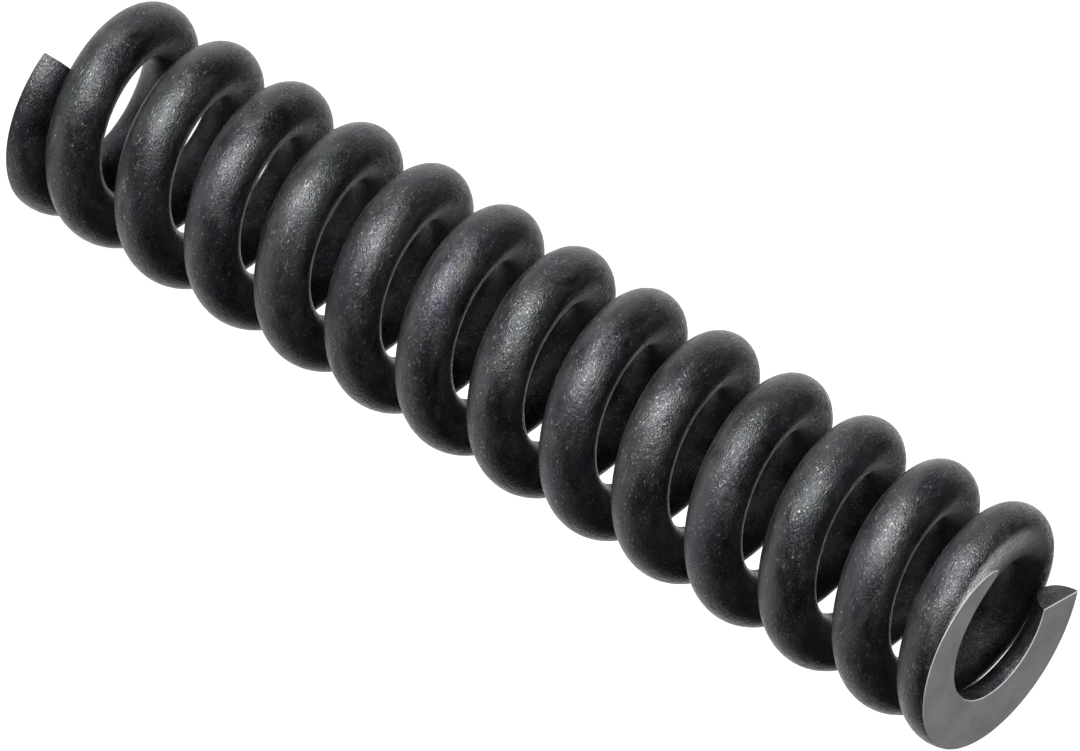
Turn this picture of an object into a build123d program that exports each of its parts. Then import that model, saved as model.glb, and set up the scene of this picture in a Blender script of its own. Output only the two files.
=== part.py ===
from build123d import *
import math
import os

# Compression spring of round wire, wound right-handed, with closed and ground ends.
# It stands on its ground bottom end at z = 0, with the coil axis along +Z.
# The wire starts in a sheared tip at the bottom, runs up through the closed end turn,
# the open coils and the closed top turn, and stops in a second sheared tip.

# driving dimensions, millimetres
wire_dia = 2.50
outer_dia = 11.00
free_length = 52.20          # between the two ground faces
closing_gap = 0.03           # air between a tip and the turn it is closed against

# driving proportions
turns_total = 13.63          # turns of wire, tip to tip
closed_turns = 0.05          # least length kept at the closing pitch behind each tip
runout_turns = 0.80          # length over which the closing pitch opens to the active pitch
tip_left = 0.42              # share of the wire's thickness that grinding leaves at a tip
first_angle = 0.0            # direction of the bottom tip, degrees about +Z
points_per_turn = 24         # points on the wire's centre line

# The first turn rises by the wire's thickness, so that its tip closes on the next turn. Two
# turns of sloping wire stand a little further apart along the axis than across the wire.
mean_radius = (outer_dia - wire_dia) / 2
tip_height = (tip_left - 0.5) * wire_dia
slope = math.atan2(wire_dia, 2 * math.pi * mean_radius)
tip_rise = wire_dia / math.cos(slope) + closing_gap
active_pitch = (free_length - 2 * (tip_rise + tip_height)) / (turns_total - 2)


def ease(t):
    """Smooth step from 0 to 1."""
    t = min(max(t, 0.0), 1.0)
    return t * t * (3 - 2 * t)


def ease_sum(t):
    """Area under the smooth step, up to t."""
    return 0.0 if t < 0 else t - 0.5 if t > 1 else t**3 - t**4 / 2


def closing_for(closed):
    """Pitch of the closed part that gives the first turn its rise."""
    share_open = runout_turns * ease_sum((1 - closed) / runout_turns)
    return (tip_rise - active_pitch * share_open) / (1 - share_open)


closed = closed_turns
while closing_for(closed) < 0.1 * wire_dia and closed < 0.9:
    closed += 0.01
closing_pitch = closing_for(closed)


def pitch(n):
    """Rise per turn, n turns from the nearer tip."""
    return closing_pitch + (active_pitch - closing_pitch) * ease((n - closed) / runout_turns)


# Heights of the centre line, from the tip to half way up. The upper half mirrors the lower.
steps_half = math.ceil(turns_total / 2 * points_per_turn)
step_turns = turns_total / 2 / steps_half
rise = [tip_height]
for i in range(steps_half):
    start = i * step_turns
    sub = [pitch(start + step_turns * j / 8) for j in range(9)]
    simpson = sub[0] + sub[8] + 4 * sum(sub[1:8:2]) + 2 * sum(sub[2:8:2])
    rise.append(rise[-1] + simpson * step_turns / 24)
heights = rise + [free_length - z for z in reversed(rise[:-1])]


def on_wire(i):
    angle = math.radians(first_angle) + 2 * math.pi * step_turns * i
    return Vector(mean_radius * math.cos(angle), mean_radius * math.sin(angle), heights[i])


# The centre line is one smooth curve, cut into lengths of about one turn for the sweep.
centre_line = Spline(*[on_wire(i) for i in range(len(heights))]).edge()
lengths = round(turns_total)
path = Wire([centre_line.trim(i / lengths, (i + 1) / lengths) for i in range(lengths)])
start = on_wire(0)
section_plane = Plane(origin=start, x_dir=Vector(start.X, start.Y, 0), z_dir=centre_line % 0.0)
wire_body = sweep(section_plane * Circle(wire_dia / 2), path=path, is_frenet=True)

# Both ends are ground flat and square to the axis.
keep = Pos(0, 0, free_length / 2) * Box(3 * outer_dia, 3 * outer_dia, free_length)
spring = (wire_body & keep).solids().sort_by(SortBy.VOLUME)[-1]
spring.label = "spring"

os.makedirs("parts", exist_ok=True)
export_step(spring, "parts/spring.step")
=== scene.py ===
import math

import bpy
import numpy as np
from bpy.props import FloatProperty, FloatVectorProperty, IntProperty, PointerProperty
from mathutils import Matrix, Vector


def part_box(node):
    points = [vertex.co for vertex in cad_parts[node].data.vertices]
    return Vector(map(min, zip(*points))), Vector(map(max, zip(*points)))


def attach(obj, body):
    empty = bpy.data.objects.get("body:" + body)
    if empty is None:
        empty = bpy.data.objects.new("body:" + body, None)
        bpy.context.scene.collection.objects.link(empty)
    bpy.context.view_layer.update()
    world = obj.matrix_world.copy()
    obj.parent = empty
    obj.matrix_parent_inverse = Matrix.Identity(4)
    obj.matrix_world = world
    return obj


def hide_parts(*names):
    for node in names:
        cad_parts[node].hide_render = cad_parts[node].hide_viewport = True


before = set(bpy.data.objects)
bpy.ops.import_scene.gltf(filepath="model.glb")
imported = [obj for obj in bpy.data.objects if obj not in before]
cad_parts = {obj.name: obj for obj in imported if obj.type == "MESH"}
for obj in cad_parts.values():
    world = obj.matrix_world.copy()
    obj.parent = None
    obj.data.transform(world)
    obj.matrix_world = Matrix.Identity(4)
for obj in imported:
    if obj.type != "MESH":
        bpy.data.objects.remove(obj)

bl_info = {
    "name": "Compression spring",
    "version": (1, 0, 0),
    "blender": (4, 5, 0),
    "location": "3D View > Sidebar > Spring",
    "description": "Models and finishes a closed and ground compression spring on its packed frame",
    "category": "Object",
}

MM = 0.001
PER_MM = (1000, 1000, 1000)  # turns metres into millimetres in a material
NODE = "spring"
LOW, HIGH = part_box(NODE)
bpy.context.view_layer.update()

# Where the camera looks from: turns about the coil axis and away from it, in radians,
# and the middle of the spring as the camera sees it, across, down and ahead.
TIP_TURN = 1.7186214
VIEW_TURN = 0.5327
VIEW_TILT = 0.482
MIDDLE_SEEN = Vector((-0.25075, -0.60605, 525.3)) * MM
LENS_MM = 401.46667
SENSOR_MM = 36.0


class SpringShape(bpy.types.PropertyGroup):
    """Sizes of the coiled wire"""
    wire_dia: FloatProperty(name="Wire diameter", description="Thickness of the round wire",
                            default=2.5 * MM, unit="LENGTH")
    outer_dia: FloatProperty(name="Outer diameter", description="Diameter over the outside of the coils",
                             default=11.0 * MM, unit="LENGTH")
    free_length: FloatProperty(name="Free length", description="Length between the two ground faces",
                               default=HIGH.z - LOW.z, unit="LENGTH")
    closing_gap: FloatProperty(name="Closing gap", description="Air between a tip and the turn it closes on",
                               default=0.03 * MM, unit="LENGTH")
    turns: FloatProperty(name="Turns", description="Turns of wire from tip to tip", default=13.63)
    closed_turns: FloatProperty(name="Closed turns",
                                description="Turns kept at the closing pitch behind a tip",
                                default=0.32)
    runout_turns: FloatProperty(name="Run-out turns", description="Turns over which the coil opens",
                                default=0.80)
    tip_left: FloatProperty(name="Tip left", description="Share of the wire left at a ground tip",
                            default=0.42, subtype="FACTOR", min=0.1, max=1.0)
    edge_break: FloatProperty(name="Edge break",
                              description="Small flat that breaks the edge of a ground face",
                              default=0.035 * MM, unit="LENGTH")
    rings_per_turn: IntProperty(name="Rings per turn", description="Sections of wire modelled in one turn",
                                default=84, min=24)
    section_steps: IntProperty(name="Section steps", description="Fineness of the round section of the wire",
                               default=16, min=4)
    tip_rim: FloatProperty(name="Tip rim", description="Width of the rounded rim of a sheared tip",
                           default=0.06 * MM, unit="LENGTH")


class SpringFinish(bpy.types.PropertyGroup):
    """Colours and gloss of the spring's surfaces"""
    oxide_dark: FloatVectorProperty(name="Oxide dark", description="Darker colour of the black oxide",
                                    default=(0.012, 0.012, 0.015), subtype="COLOR", min=0.0, max=1.0)
    oxide_light: FloatVectorProperty(name="Oxide light", description="Lighter colour of the black oxide",
                                     default=(0.058, 0.056, 0.059), subtype="COLOR", min=0.0, max=1.0)
    ground_grey: FloatVectorProperty(name="Ground grey", description="Colour of the ground end faces",
                                     default=(0.40, 0.40, 0.40), subtype="COLOR", min=0.0, max=1.0)
    violet_tint: FloatVectorProperty(name="Violet tint",
                                     description="Colour of the violet patches in the oxide",
                                     default=(0.044, 0.036, 0.054), subtype="COLOR", min=0.0, max=1.0)
    green_tint: FloatVectorProperty(name="Green tint", description="Colour of the green patches in the oxide",
                                    default=(0.034, 0.042, 0.040), subtype="COLOR", min=0.0, max=1.0)
    # light colour of rubbed specks and edges; on the oxide wire the specks are partly painted glints, the
    # sparkle of the grain in the highlights
    rub_and_glint_light: FloatVectorProperty(name="Worn light", description="Colour of rubbed specks and edges",
                                    default=(0.30, 0.29, 0.28), subtype="COLOR", min=0.0, max=1.0)
    sheared_dark: FloatVectorProperty(name="Sheared dark", description="Colour of the sheared tips",
                                      default=(0.026, 0.022, 0.019), subtype="COLOR", min=0.0, max=1.0)


class SpringStage(bpy.types.PropertyGroup):
    """Floor, lights and camera"""
    floor_size: FloatProperty(name="Floor size", description="Side of the square floor", default=6.0,
                              unit="LENGTH")
    floor_white: FloatVectorProperty(name="Floor white", description="Colour of the floor",
                                     default=(0.40, 0.40, 0.40), subtype="COLOR", min=0.0, max=1.0)
    floor_glow: FloatProperty(name="Floor glow", description="Light that the white floor gives by itself",
                              default=1.0)
    room_light: FloatProperty(name="Room light", description="Strength of the even light of the room",
                              default=0.05)
    key_power: FloatProperty(name="Key power", description="Power of the long soft lamp", default=11.0,
                             unit="POWER")
    side_power: FloatProperty(name="Side power", description="Power of the small lamp beside the camera",
                              default=1.0, unit="POWER")


def ease_sum(t):
    """Area under the smooth step up to t."""
    t = np.asarray(t, float)
    inside = np.clip(t, 0.0, 1.0)
    return inside**3 - inside**4 / 2 + np.clip(t - 1.0, 0.0, None)


class Coil:
    """Centre line of the wire, worked out from the sizes."""

    def __init__(self, shape):
        self.wire = shape.wire_dia / 2
        self.radius = (shape.outer_dia - shape.wire_dia) / 2
        self.length = shape.free_length
        self.turns = shape.turns
        self.closed = shape.closed_turns
        self.runout = shape.runout_turns
        self.tip = (shape.tip_left - 0.5) * shape.wire_dia
        slope = math.atan2(shape.wire_dia, 2 * math.pi * self.radius)
        rise = shape.wire_dia / math.cos(slope) + shape.closing_gap
        self.pitch = (self.length - 2 * (rise + self.tip)) / (self.turns - 2)
        share = float(self.runout * ease_sum((1 - self.closed) / self.runout))
        self.closing = (rise - self.pitch * share) / (1 - share)

    def height(self, n):
        """Height of the centre line, n turns from the bottom tip."""
        n = np.asarray(n, float)
        near = np.minimum(n, self.turns - n)
        opened = self.runout * ease_sum((near - self.closed) / self.runout)
        z = self.tip + self.closing * near + (self.pitch - self.closing) * opened
        return np.where(n <= self.turns / 2, z, self.length - z)

    def point(self, n):
        a = 2 * math.pi * n
        return self.radius * math.cos(a), self.radius * math.sin(a), float(self.height(n))

    def along(self, places):
        """Turns from the bottom tip, and the place in the wire's section, of surface points."""
        turn = (np.arctan2(places[:, 1], places[:, 0]) / (2 * math.pi)) % 1.0
        out = np.hypot(places[:, 0], places[:, 1]) - self.radius
        whole = np.arange(-1, int(self.turns) + 2)
        past_end, off_turn_cost = 0.05, 10
        tries = np.clip(turn[:, None] + whole[None, :], -past_end, self.turns + past_end)
        miss = np.abs(self.height(tries) - places[:, 2:3])
        off_turn = (tries - turn[:, None]) - np.round(tries - turn[:, None])
        miss += off_turn_cost * np.abs(off_turn) * self.radius
        n = tries[np.arange(len(turn)), miss.argmin(1)]
        return n, out, places[:, 2] - self.height(n)


def clean_start():
    if bpy.context.object is not None and bpy.context.object.mode != "OBJECT":
        bpy.ops.object.mode_set(mode="OBJECT")
    bpy.ops.object.select_all(action="DESELECT")


def pick_only(obj):
    clean_start()
    obj.select_set(True)
    bpy.context.view_layer.objects.active = obj


def select_faces(obj, test):
    """Selects the faces of obj that pass the test, in edit mode."""
    bpy.ops.object.mode_set(mode="OBJECT")
    for v in obj.data.vertices:
        v.select = False
    for e in obj.data.edges:
        e.select = False
    for p in obj.data.polygons:
        p.select = test(p)
    bpy.ops.object.mode_set(mode="EDIT")
    bpy.ops.mesh.select_mode(type="FACE")


# Materials

class Nodes:
    """Short names for building a node tree."""

    def __init__(self, name):
        self.mat = bpy.data.materials.new(name)
        self.mat.use_nodes = True
        self.tree = self.mat.node_tree
        self.tree.nodes.clear()
        self.out = self.add("ShaderNodeOutputMaterial")

    def add(self, kind, **settings):
        node = self.tree.nodes.new(kind)
        for key, value in settings.items():
            setattr(node, key, value)
        return node

    def join(self, source, target):
        self.tree.links.new(source, target)

    def put(self, socket, value):
        if isinstance(value, bpy.types.NodeSocket):
            self.join(value, socket)
        else:
            socket.default_value = value

    def noise(self, where, scale, detail=3.0, rough=0.5, warp=0.0):
        n = self.add("ShaderNodeTexNoise")
        self.join(where, n.inputs["Vector"])
        n.inputs["Scale"].default_value = scale
        n.inputs["Detail"].default_value = detail
        n.inputs["Roughness"].default_value = rough
        n.inputs["Distortion"].default_value = warp
        return n.outputs["Fac"]

    def stretch(self, where, scale, move=(0, 0, 0)):
        n = self.add("ShaderNodeMapping")
        self.join(where, n.inputs["Vector"])
        n.inputs["Scale"].default_value = scale
        n.inputs["Location"].default_value = move
        return n.outputs["Vector"]

    def span(self, value, low, high, new_low=0.0, new_high=1.0):
        n = self.add("ShaderNodeMapRange")
        n.interpolation_type = "SMOOTHSTEP"
        self.put(n.inputs["Value"], value)
        n.inputs["From Min"].default_value = low
        n.inputs["From Max"].default_value = high
        n.inputs["To Min"].default_value = new_low
        n.inputs["To Max"].default_value = new_high
        return n.outputs["Result"]

    def calc(self, how, a, b=0.0):
        n = self.add("ShaderNodeMath", operation=how)
        self.put(n.inputs[0], a)
        self.put(n.inputs[1], b)
        return n.outputs[0]

    def blend(self, how, share, a, b):
        n = self.add("ShaderNodeMix", data_type="RGBA", blend_type=how)
        self.put(n.inputs["Factor"], share)
        self.put(n.inputs["A"], a)
        self.put(n.inputs["B"], b)
        return n.outputs["Result"]

    def bump(self, height, strength, distance, under=None):
        n = self.add("ShaderNodeBump")
        n.inputs["Strength"].default_value = strength
        n.inputs["Distance"].default_value = distance
        self.join(height, n.inputs["Height"])
        if under is not None:
            self.join(under, n.inputs["Normal"])
        return n.outputs["Normal"]

    def shader(self, colour, metal, rough, normal, specular=0.5, glow=0.0):
        n = self.add("ShaderNodeBsdfPrincipled")
        self.put(n.inputs["Base Color"], colour)
        self.put(n.inputs["Metallic"], metal)
        self.put(n.inputs["Roughness"], rough)
        n.inputs["Specular IOR Level"].default_value = specular
        n.inputs["Emission Color"].default_value = (1, 1, 1, 1)
        n.inputs["Emission Strength"].default_value = glow
        if normal is not None:
            self.join(normal, n.inputs["Normal"])
        self.join(n.outputs["BSDF"], self.out.inputs["Surface"])
        return self.mat


def rgba(colour, times=1.0):
    return (colour[0] * times, colour[1] * times, colour[2] * times, 1.0)


def oxide_material(finish, shape):
    """Satin black oxide on drawn wire: mottled, faintly tinted, rubbed near the ground faces.

    The patterns follow the wire. Their scales are per millimetre along, out of and across it.
    """
    m = Nodes("black_oxide_wire")
    place = m.add("ShaderNodeAttribute", attribute_name="wire_place").outputs["Vector"]
    mm = m.stretch(place, PER_MM)
    patch = m.noise(m.stretch(mm, (0.5, 0.9, 0.9)), 1.0, 4.0, 0.6, 0.4)
    mottle = m.noise(m.stretch(mm, (1.8, 2.8, 2.8)), 1.0, 5.0, 0.65, 0.3)
    grain = m.noise(m.stretch(mm, (9.0, 12.0, 12.0), (5, 9, 2)), 1.0, 3.0, 0.65)
    specks = m.noise(m.stretch(mm, (8.0, 11.0, 11.0), (17, 3, 8)), 1.0, 3.0, 0.6)
    tint = m.noise(m.stretch(mm, (0.35, 0.6, 0.6), (31, 7, 3)), 1.0, 3.0, 0.5)
    body = m.blend("MIX", m.span(patch, 0.3, 0.7), rgba(finish.oxide_dark), rgba(finish.oxide_light))
    body = m.blend("MIX", m.span(tint, 0.52, 0.68, 0.0, 0.40), body, rgba(finish.violet_tint))
    body = m.blend("MIX", m.span(tint, 0.48, 0.34, 0.0, 0.40), body, rgba(finish.green_tint))
    # light specks: partly rubbed spots in the oxide, partly painted glints that stand in for the sparkle of
    # the grain in the highlights
    rub_and_glint = m.calc("MULTIPLY", m.span(specks, 0.56, 0.68), m.span(mottle, 0.42, 0.60))
    body = m.blend("MIX", m.calc("MULTIPLY", rub_and_glint, 0.5), body, rgba(finish.rub_and_glint_light))

    # the crest that has just left a ground face is rubbed grey by the wheel
    around = m.add("ShaderNodeSeparateXYZ")
    m.join(place, around.inputs[0])
    where = m.add("ShaderNodeSeparateXYZ")
    m.join(m.add("ShaderNodeTexCoord").outputs["Object"], where.inputs[0])
    low = where.outputs["Z"]
    off_face = m.calc("MINIMUM", low, m.calc("SUBTRACT", shape.free_length, low))
    crest = m.calc("ABSOLUTE", around.outputs["Z"])
    rubbed = m.calc("MULTIPLY", m.span(off_face, 0.80 * MM, 0.25 * MM),
                   m.span(crest, 0.34 * shape.wire_dia, 0.44 * shape.wire_dia))
    body = m.blend("MIX", rubbed, body, rgba(finish.ground_grey))

    rough = m.calc("ADD", m.span(mottle, 0.3, 0.7, 0.27, 0.43), m.span(grain, 0.3, 0.7, -0.08, 0.08))
    rough = m.calc("ADD", rough, m.calc("MULTIPLY", rubbed, 0.2))
    height = m.calc("ADD", m.calc("MULTIPLY", mottle, 0.4), m.calc("MULTIPLY", grain, 0.5))
    normal = m.bump(height, 1.0, 0.00008)
    return m.shader(body, 0.85, rough, normal)


def ground_material(finish, name="ground_face", rub_and_glint=0.0):
    """Ground steel that has been blackened: matt grey, faintly clouded, brighter where it is worn."""
    m = Nodes(name)
    where = m.add("ShaderNodeTexCoord").outputs["Object"]
    mm = m.stretch(where, PER_MM)
    cloud = m.noise(m.stretch(mm, (0.5, 0.5, 0.5)), 1.0, 4.0, 0.6)
    grain = m.noise(m.stretch(mm, (7, 7, 7)), 1.0, 3.0, 0.6)
    nicks = m.noise(m.stretch(mm, (2.2, 2.2, 2.2), (4, 1, 6)), 1.0, 3.0, 0.6)
    body = m.blend("MIX", m.span(cloud, 0.3, 0.7), rgba(finish.ground_grey, 0.88),
                   rgba(finish.ground_grey, 1.12))
    # light nicks in the rubbed-and-glint colour; on the ground faces and broken edges they are rubbed spots
    body = m.blend("MIX", m.span(nicks, 0.52, 0.66, 0.0, rub_and_glint), body, rgba(finish.rub_and_glint_light, 1.1))
    rough = m.span(grain, 0.3, 0.7, 0.52, 0.64)
    normal = m.bump(grain, 0.35, 0.00002)
    return m.shader(body, 0.35, rough, normal)


def sheared_material(finish):
    """Rough broken metal of a sheared tip."""
    m = Nodes("sheared_tip")
    where = m.add("ShaderNodeTexCoord").outputs["Object"]
    mm = m.stretch(where, PER_MM)
    torn = m.noise(m.stretch(mm, (2.5, 2.5, 4)), 1.0, 5.0, 0.65)
    body = m.blend("MIX", m.span(torn, 0.35, 0.65), rgba(finish.sheared_dark),
                   rgba(finish.sheared_dark, 2.0))
    return m.shader(body, 0.4, m.span(torn, 0.3, 0.7, 0.5, 0.75), m.bump(torn, 0.6, 0.0001))


class SPRING_OT_coil(bpy.types.Operator):
    """Models the coiled wire, grinds its two ends flat and finishes its surfaces"""
    bl_idname = "spring.coil"
    bl_label = "Coiled wire"

    def execute(self, context):
        shape, finish = context.scene.spring_shape, context.scene.spring_finish
        coil = Coil(shape)
        clean_start()
        bpy.ops.curve.primitive_nurbs_path_add(location=(0, 0, 0))
        wire = context.object
        wire.name = "coiled_wire"
        line = wire.data
        line.splines.clear()
        count = int(round(coil.turns * shape.rings_per_turn))
        spline = line.splines.new("POLY")
        spline.points.add(count)
        for i in range(count + 1):
            spline.points[i].co = (*coil.point(coil.turns * i / count), 1.0)
        line.dimensions = "3D"
        line.twist_mode = "Z_UP"
        line.bevel_depth = coil.wire
        line.bevel_resolution = shape.section_steps
        line.use_fill_caps = True
        pick_only(wire)
        bpy.ops.object.convert(target="MESH")
        wire = context.object
        bpy.ops.object.mode_set(mode="EDIT")
        bpy.ops.mesh.select_all(action="SELECT")
        bpy.ops.mesh.remove_doubles(threshold=1e-7)
        bpy.ops.mesh.normals_make_consistent(inside=False)
        # the sheared tips get a small rounded rim
        select_faces(wire, lambda p: len(p.vertices) > 8)
        bpy.ops.mesh.inset(thickness=shape.tip_rim, depth=shape.tip_rim / 2)
        # both ends are ground flat, and the new edge is broken
        for height, way in ((shape.edge_break, 1), (coil.length - shape.edge_break, -1)):
            bpy.ops.mesh.select_all(action="SELECT")
            bpy.ops.mesh.bisect(plane_co=(0, 0, height), plane_no=(0, 0, way), use_fill=True,
                                clear_inner=True, threshold=1e-8)
            select_faces(wire, lambda p: abs(p.center.z - height) < 1e-7 and abs(p.normal.z) > 0.99
                         and len(p.vertices) > 8)
            bpy.ops.mesh.inset(thickness=shape.edge_break, depth=shape.edge_break)
        bpy.ops.object.mode_set(mode="OBJECT")
        wire.data.update()
        places = np.array([v.co[:] for v in wire.data.vertices])
        n, out, up = coil.along(places)
        spot = wire.data.attributes.new("wire_place", "FLOAT_VECTOR", "POINT")
        full = 2 * math.pi * coil.radius
        spot.data.foreach_set("vector", np.stack([n * full, out, up], 1).astype(np.float32).ravel())
        wire.data.materials.clear()
        for mat in (oxide_material(finish, shape), ground_material(finish), sheared_material(finish),
                    ground_material(finish, "broken_edge", rub_and_glint=1.0)):
            wire.data.materials.append(mat)
        drawn, ground, sheared, edge = range(4)
        for p in wire.data.polygons:
            off_face = min(p.center.z, coil.length - p.center.z)
            if abs(p.normal.z) > 0.99 and off_face < 1e-6:
                p.material_index = ground
            elif len(p.vertices) > 8:
                p.material_index = sheared
            elif 0.5 < abs(p.normal.z) < 0.9 and off_face < shape.edge_break:
                p.material_index = edge
            else:
                p.material_index = drawn
        pick_only(wire)
        bpy.ops.object.shade_smooth_by_angle(angle=math.radians(30))
        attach(wire, "root")
        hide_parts(NODE)
        return {"FINISHED"}


# The stage

def camera_axes():
    """Right, down and forward of the camera in the spring's frame."""
    near = Vector((math.cos(VIEW_TURN) * math.cos(VIEW_TILT), math.sin(VIEW_TURN) * math.cos(VIEW_TILT),
                   -math.sin(VIEW_TILT)))
    side = Vector((-math.sin(VIEW_TURN), math.cos(VIEW_TURN), 0.0))
    third = (-near).cross(side)
    tip = Vector((math.cos(TIP_TURN), math.sin(TIP_TURN), 0))
    past_tip = Vector((-math.sin(TIP_TURN), math.cos(TIP_TURN), 0))
    up = Vector((0, 0, 1))
    return [side[k] * tip - third[k] * past_tip + near[k] * up for k in range(3)]


class SPRING_OT_stage(bpy.types.Operator):
    """Lays the pale floor and sets the soft lights and the camera"""
    bl_idname = "spring.stage"
    bl_label = "Stage"

    def execute(self, context):
        stage = context.scene.spring_stage
        scene = context.scene
        centre = (LOW + HIGH) / 2
        clean_start()
        bpy.ops.mesh.primitive_plane_add(size=stage.floor_size, location=(0, 0, 0))
        floor = context.object
        floor.name = "floor"
        white = Nodes("floor_white").shader(rgba(stage.floor_white), 0.0, 1.0, None,
                                            specular=0.0, glow=stage.floor_glow)
        floor.data.materials.append(white)

        right, down, ahead = camera_axes()
        place = centre - (right * MIDDLE_SEEN.x + down * MIDDLE_SEEN.y + ahead * MIDDLE_SEEN.z)
        lens = bpy.data.cameras.new("camera")
        camera = bpy.data.objects.new("camera", lens)
        scene.collection.objects.link(camera)
        camera.matrix_world = Matrix((
            (right.x, -down.x, -ahead.x, place.x),
            (right.y, -down.y, -ahead.y, place.y),
            (right.z, -down.z, -ahead.z, place.z),
            (0, 0, 0, 1)))
        lens.sensor_width = SENSOR_MM
        lens.lens = LENS_MM
        lens.clip_start = 0.01
        lens.clip_end = 20.0
        scene.camera = camera

        def lamp(name, across, up, back, size, power):
            """Adds a soft lamp aimed at the spring, placed as the camera sees it."""
            light = bpy.data.lights.new(name, "AREA")
            light.shape = "RECTANGLE"
            light.size, light.size_y = size
            light.energy = power
            obj = bpy.data.objects.new(name, light)
            scene.collection.objects.link(obj)
            spot = centre + right * across - down * up - ahead * back
            obj.location = spot
            obj.rotation_euler = (centre - spot).to_track_quat("-Z", "Y").to_euler()

        lamp("key", across=0.00, up=0.38, back=0.60, size=(0.26, 0.09), power=stage.key_power)
        lamp("side", across=0.20, up=0.00, back=0.50, size=(0.15, 0.15), power=stage.side_power)
        world = bpy.data.worlds.new("room")
        scene.world = world
        world.use_nodes = True
        shade = world.node_tree.nodes["Background"]
        shade.inputs["Color"].default_value = (1, 1, 1, 1)
        shade.inputs["Strength"].default_value = stage.room_light
        scene.view_settings.view_transform = "Standard"
        scene.view_settings.look = "None"
        return {"FINISHED"}


class SPRING_PT_panel(bpy.types.Panel):
    """Sizes, finish and stage of the spring"""
    bl_idname = "SPRING_PT_panel"
    bl_label = "Compression spring"
    bl_space_type = "VIEW_3D"
    bl_region_type = "UI"
    bl_category = "Spring"

    def draw(self, context):
        for title, group, operator in (
            ("Coiled wire", context.scene.spring_shape, SPRING_OT_coil.bl_idname),
            ("Finish", context.scene.spring_finish, None),
            ("Stage", context.scene.spring_stage, SPRING_OT_stage.bl_idname),
        ):
            box = self.layout.box()
            box.label(text=title)
            for key in group.__annotations__:
                box.prop(group, key)
            if operator:
                box.operator(operator)


CLASSES = (SpringShape, SpringFinish, SpringStage, SPRING_OT_coil, SPRING_OT_stage, SPRING_PT_panel)


def register():
    for cls in CLASSES:
        bpy.utils.register_class(cls)
    bpy.types.Scene.spring_shape = PointerProperty(type=SpringShape)
    bpy.types.Scene.spring_finish = PointerProperty(type=SpringFinish)
    bpy.types.Scene.spring_stage = PointerProperty(type=SpringStage)


def unregister():
    del bpy.types.Scene.spring_stage
    del bpy.types.Scene.spring_finish
    del bpy.types.Scene.spring_shape
    for cls in reversed(CLASSES):
        bpy.utils.unregister_class(cls)


def main():
    register()
    bpy.ops.spring.stage()
    bpy.ops.spring.coil()


if __name__ == "__main__":
    main()
